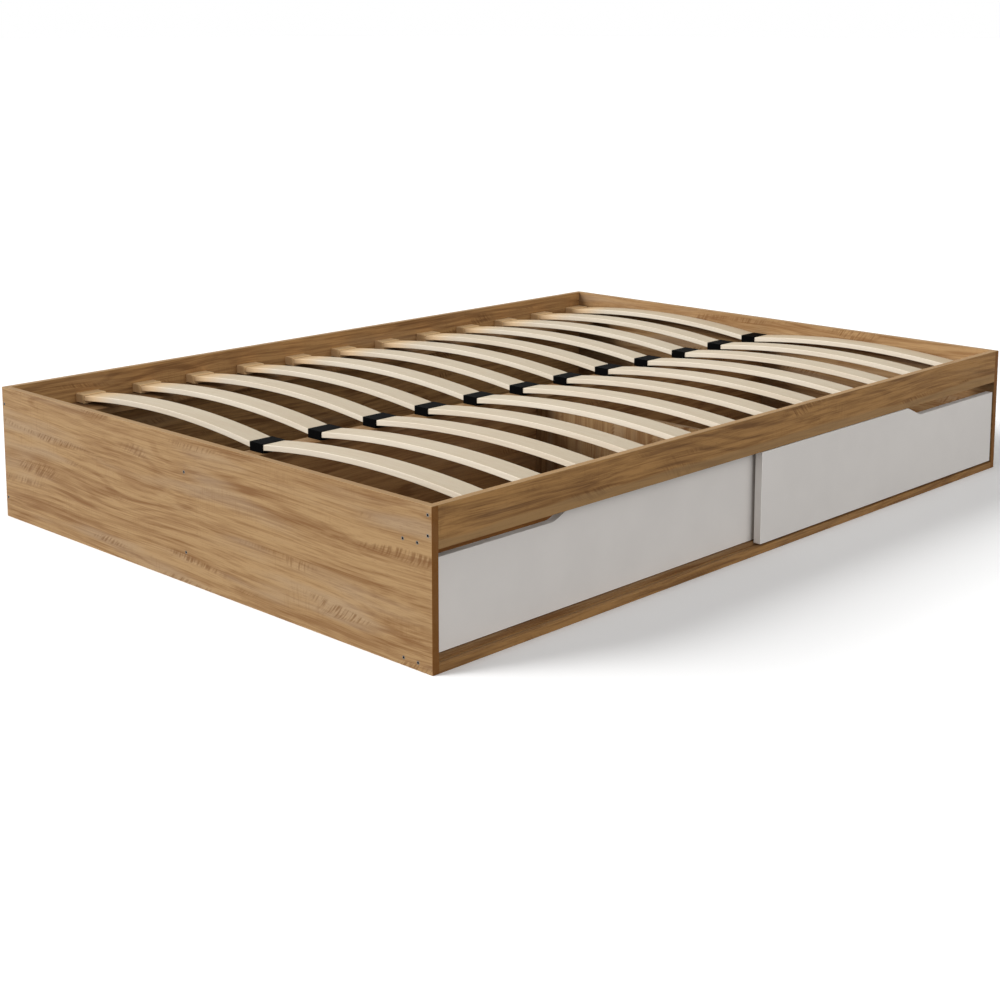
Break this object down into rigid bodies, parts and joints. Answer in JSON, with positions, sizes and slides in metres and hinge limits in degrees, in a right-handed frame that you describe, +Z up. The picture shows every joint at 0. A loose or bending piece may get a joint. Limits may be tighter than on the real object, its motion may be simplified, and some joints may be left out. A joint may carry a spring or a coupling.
{
  "type": "platform storage bed",
  "caption": "Low oak-faced platform bed box with a sprung slat base and two sliding doors that pass each other along one long side, over a storage space.",
  "frame": {"origin": "middle of the bed's footprint, on the floor", "axes": "+X runs along the bed to the right as seen from the doors, the doors face -Y, +Z up"},
  "size_m": [2.032, 1.452, 0.311],
  "materials": {
    "oak_board": "oak grain foil on chipboard, satin",
    "door_board": "pale warm grey melamine on chipboard, matt",
    "slat_wood": "pale birch veneer, satin",
    "black_plastic": "matt",
    "oak_plastic": "matt, oak coloured",
    "brown_plastic": "matt",
    "hardboard": "bare hardboard",
    "dowel_wood": "bare beech",
    "zinc_steel": "zinc plated"
  },
  "bodies": {
    "bed_box": {"end_panel_left": "oak_board", "end_panel_right": "oak_board", "back_panel": "oak_board", "front_rail": "oak_board", "plinth_strip": "oak_board", "front_ledge": "oak_board", "back_ledge": "oak_board", "centre_beam": "oak_board", "centre_board": "oak_board", "base_board": "oak_board", "cross_partition": "oak_board", "floor_sheet_left": "hardboard", "floor_sheet_right": "hardboard", "outer_top_track": "brown_plastic", "inner_top_track": "brown_plastic", "outer_bottom_track": "brown_plastic", "inner_bottom_track": "brown_plastic", "slat_front_01": "slat_wood", "slat_back_01": "slat_wood", "slat_front_02": "slat_wood", "slat_back_02": "slat_wood", "slat_front_03": "slat_wood", "slat_back_03": "slat_wood", "slat_front_04": "slat_wood", "slat_back_04": "slat_wood", "slat_front_05": "slat_wood", "slat_back_05": "slat_wood", "slat_front_06": "slat_wood", "slat_back_06": "slat_wood", "slat_front_07": "slat_wood", "slat_back_07": "slat_wood", "slat_front_08": "slat_wood", "slat_back_08": "slat_wood", "slat_front_09": "slat_wood", "slat_back_09": "slat_wood", "slat_front_10": "slat_wood", "slat_back_10": "slat_wood", "slat_front_11": "slat_wood", "slat_back_11": "slat_wood", "slat_front_12": "slat_wood", "slat_back_12": "slat_wood", "centre_holders": "black_plastic", "front_slat_caps": "oak_plastic", "back_slat_caps": "oak_plastic", "end_screws_left": "zinc_steel", "end_screws_right": "zinc_steel", "back_ledge_screws": "zinc_steel", "partition_screws": "zinc_steel", "plinth_dowels": "dowel_wood"},
    "left_door": {"door_left": "door_board", "door_left_bottom_guides": "black_plastic", "door_left_top_guides": "black_plastic"},
    "right_door": {"door_right": "door_board", "door_right_bottom_guides": "black_plastic", "door_right_top_guides": "black_plastic"}
  },
  "joints": [
    {"name": "left_door_slide", "type": "slide", "parent": "bed_box", "child": "left_door", "axis": [1, 0, 0], "range_m": [0, 0.976]},
    {"name": "right_door_slide", "type": "slide", "parent": "bed_box", "child": "right_door", "axis": [-1, 0, 0], "range_m": [0, 0.976]}
  ]
}
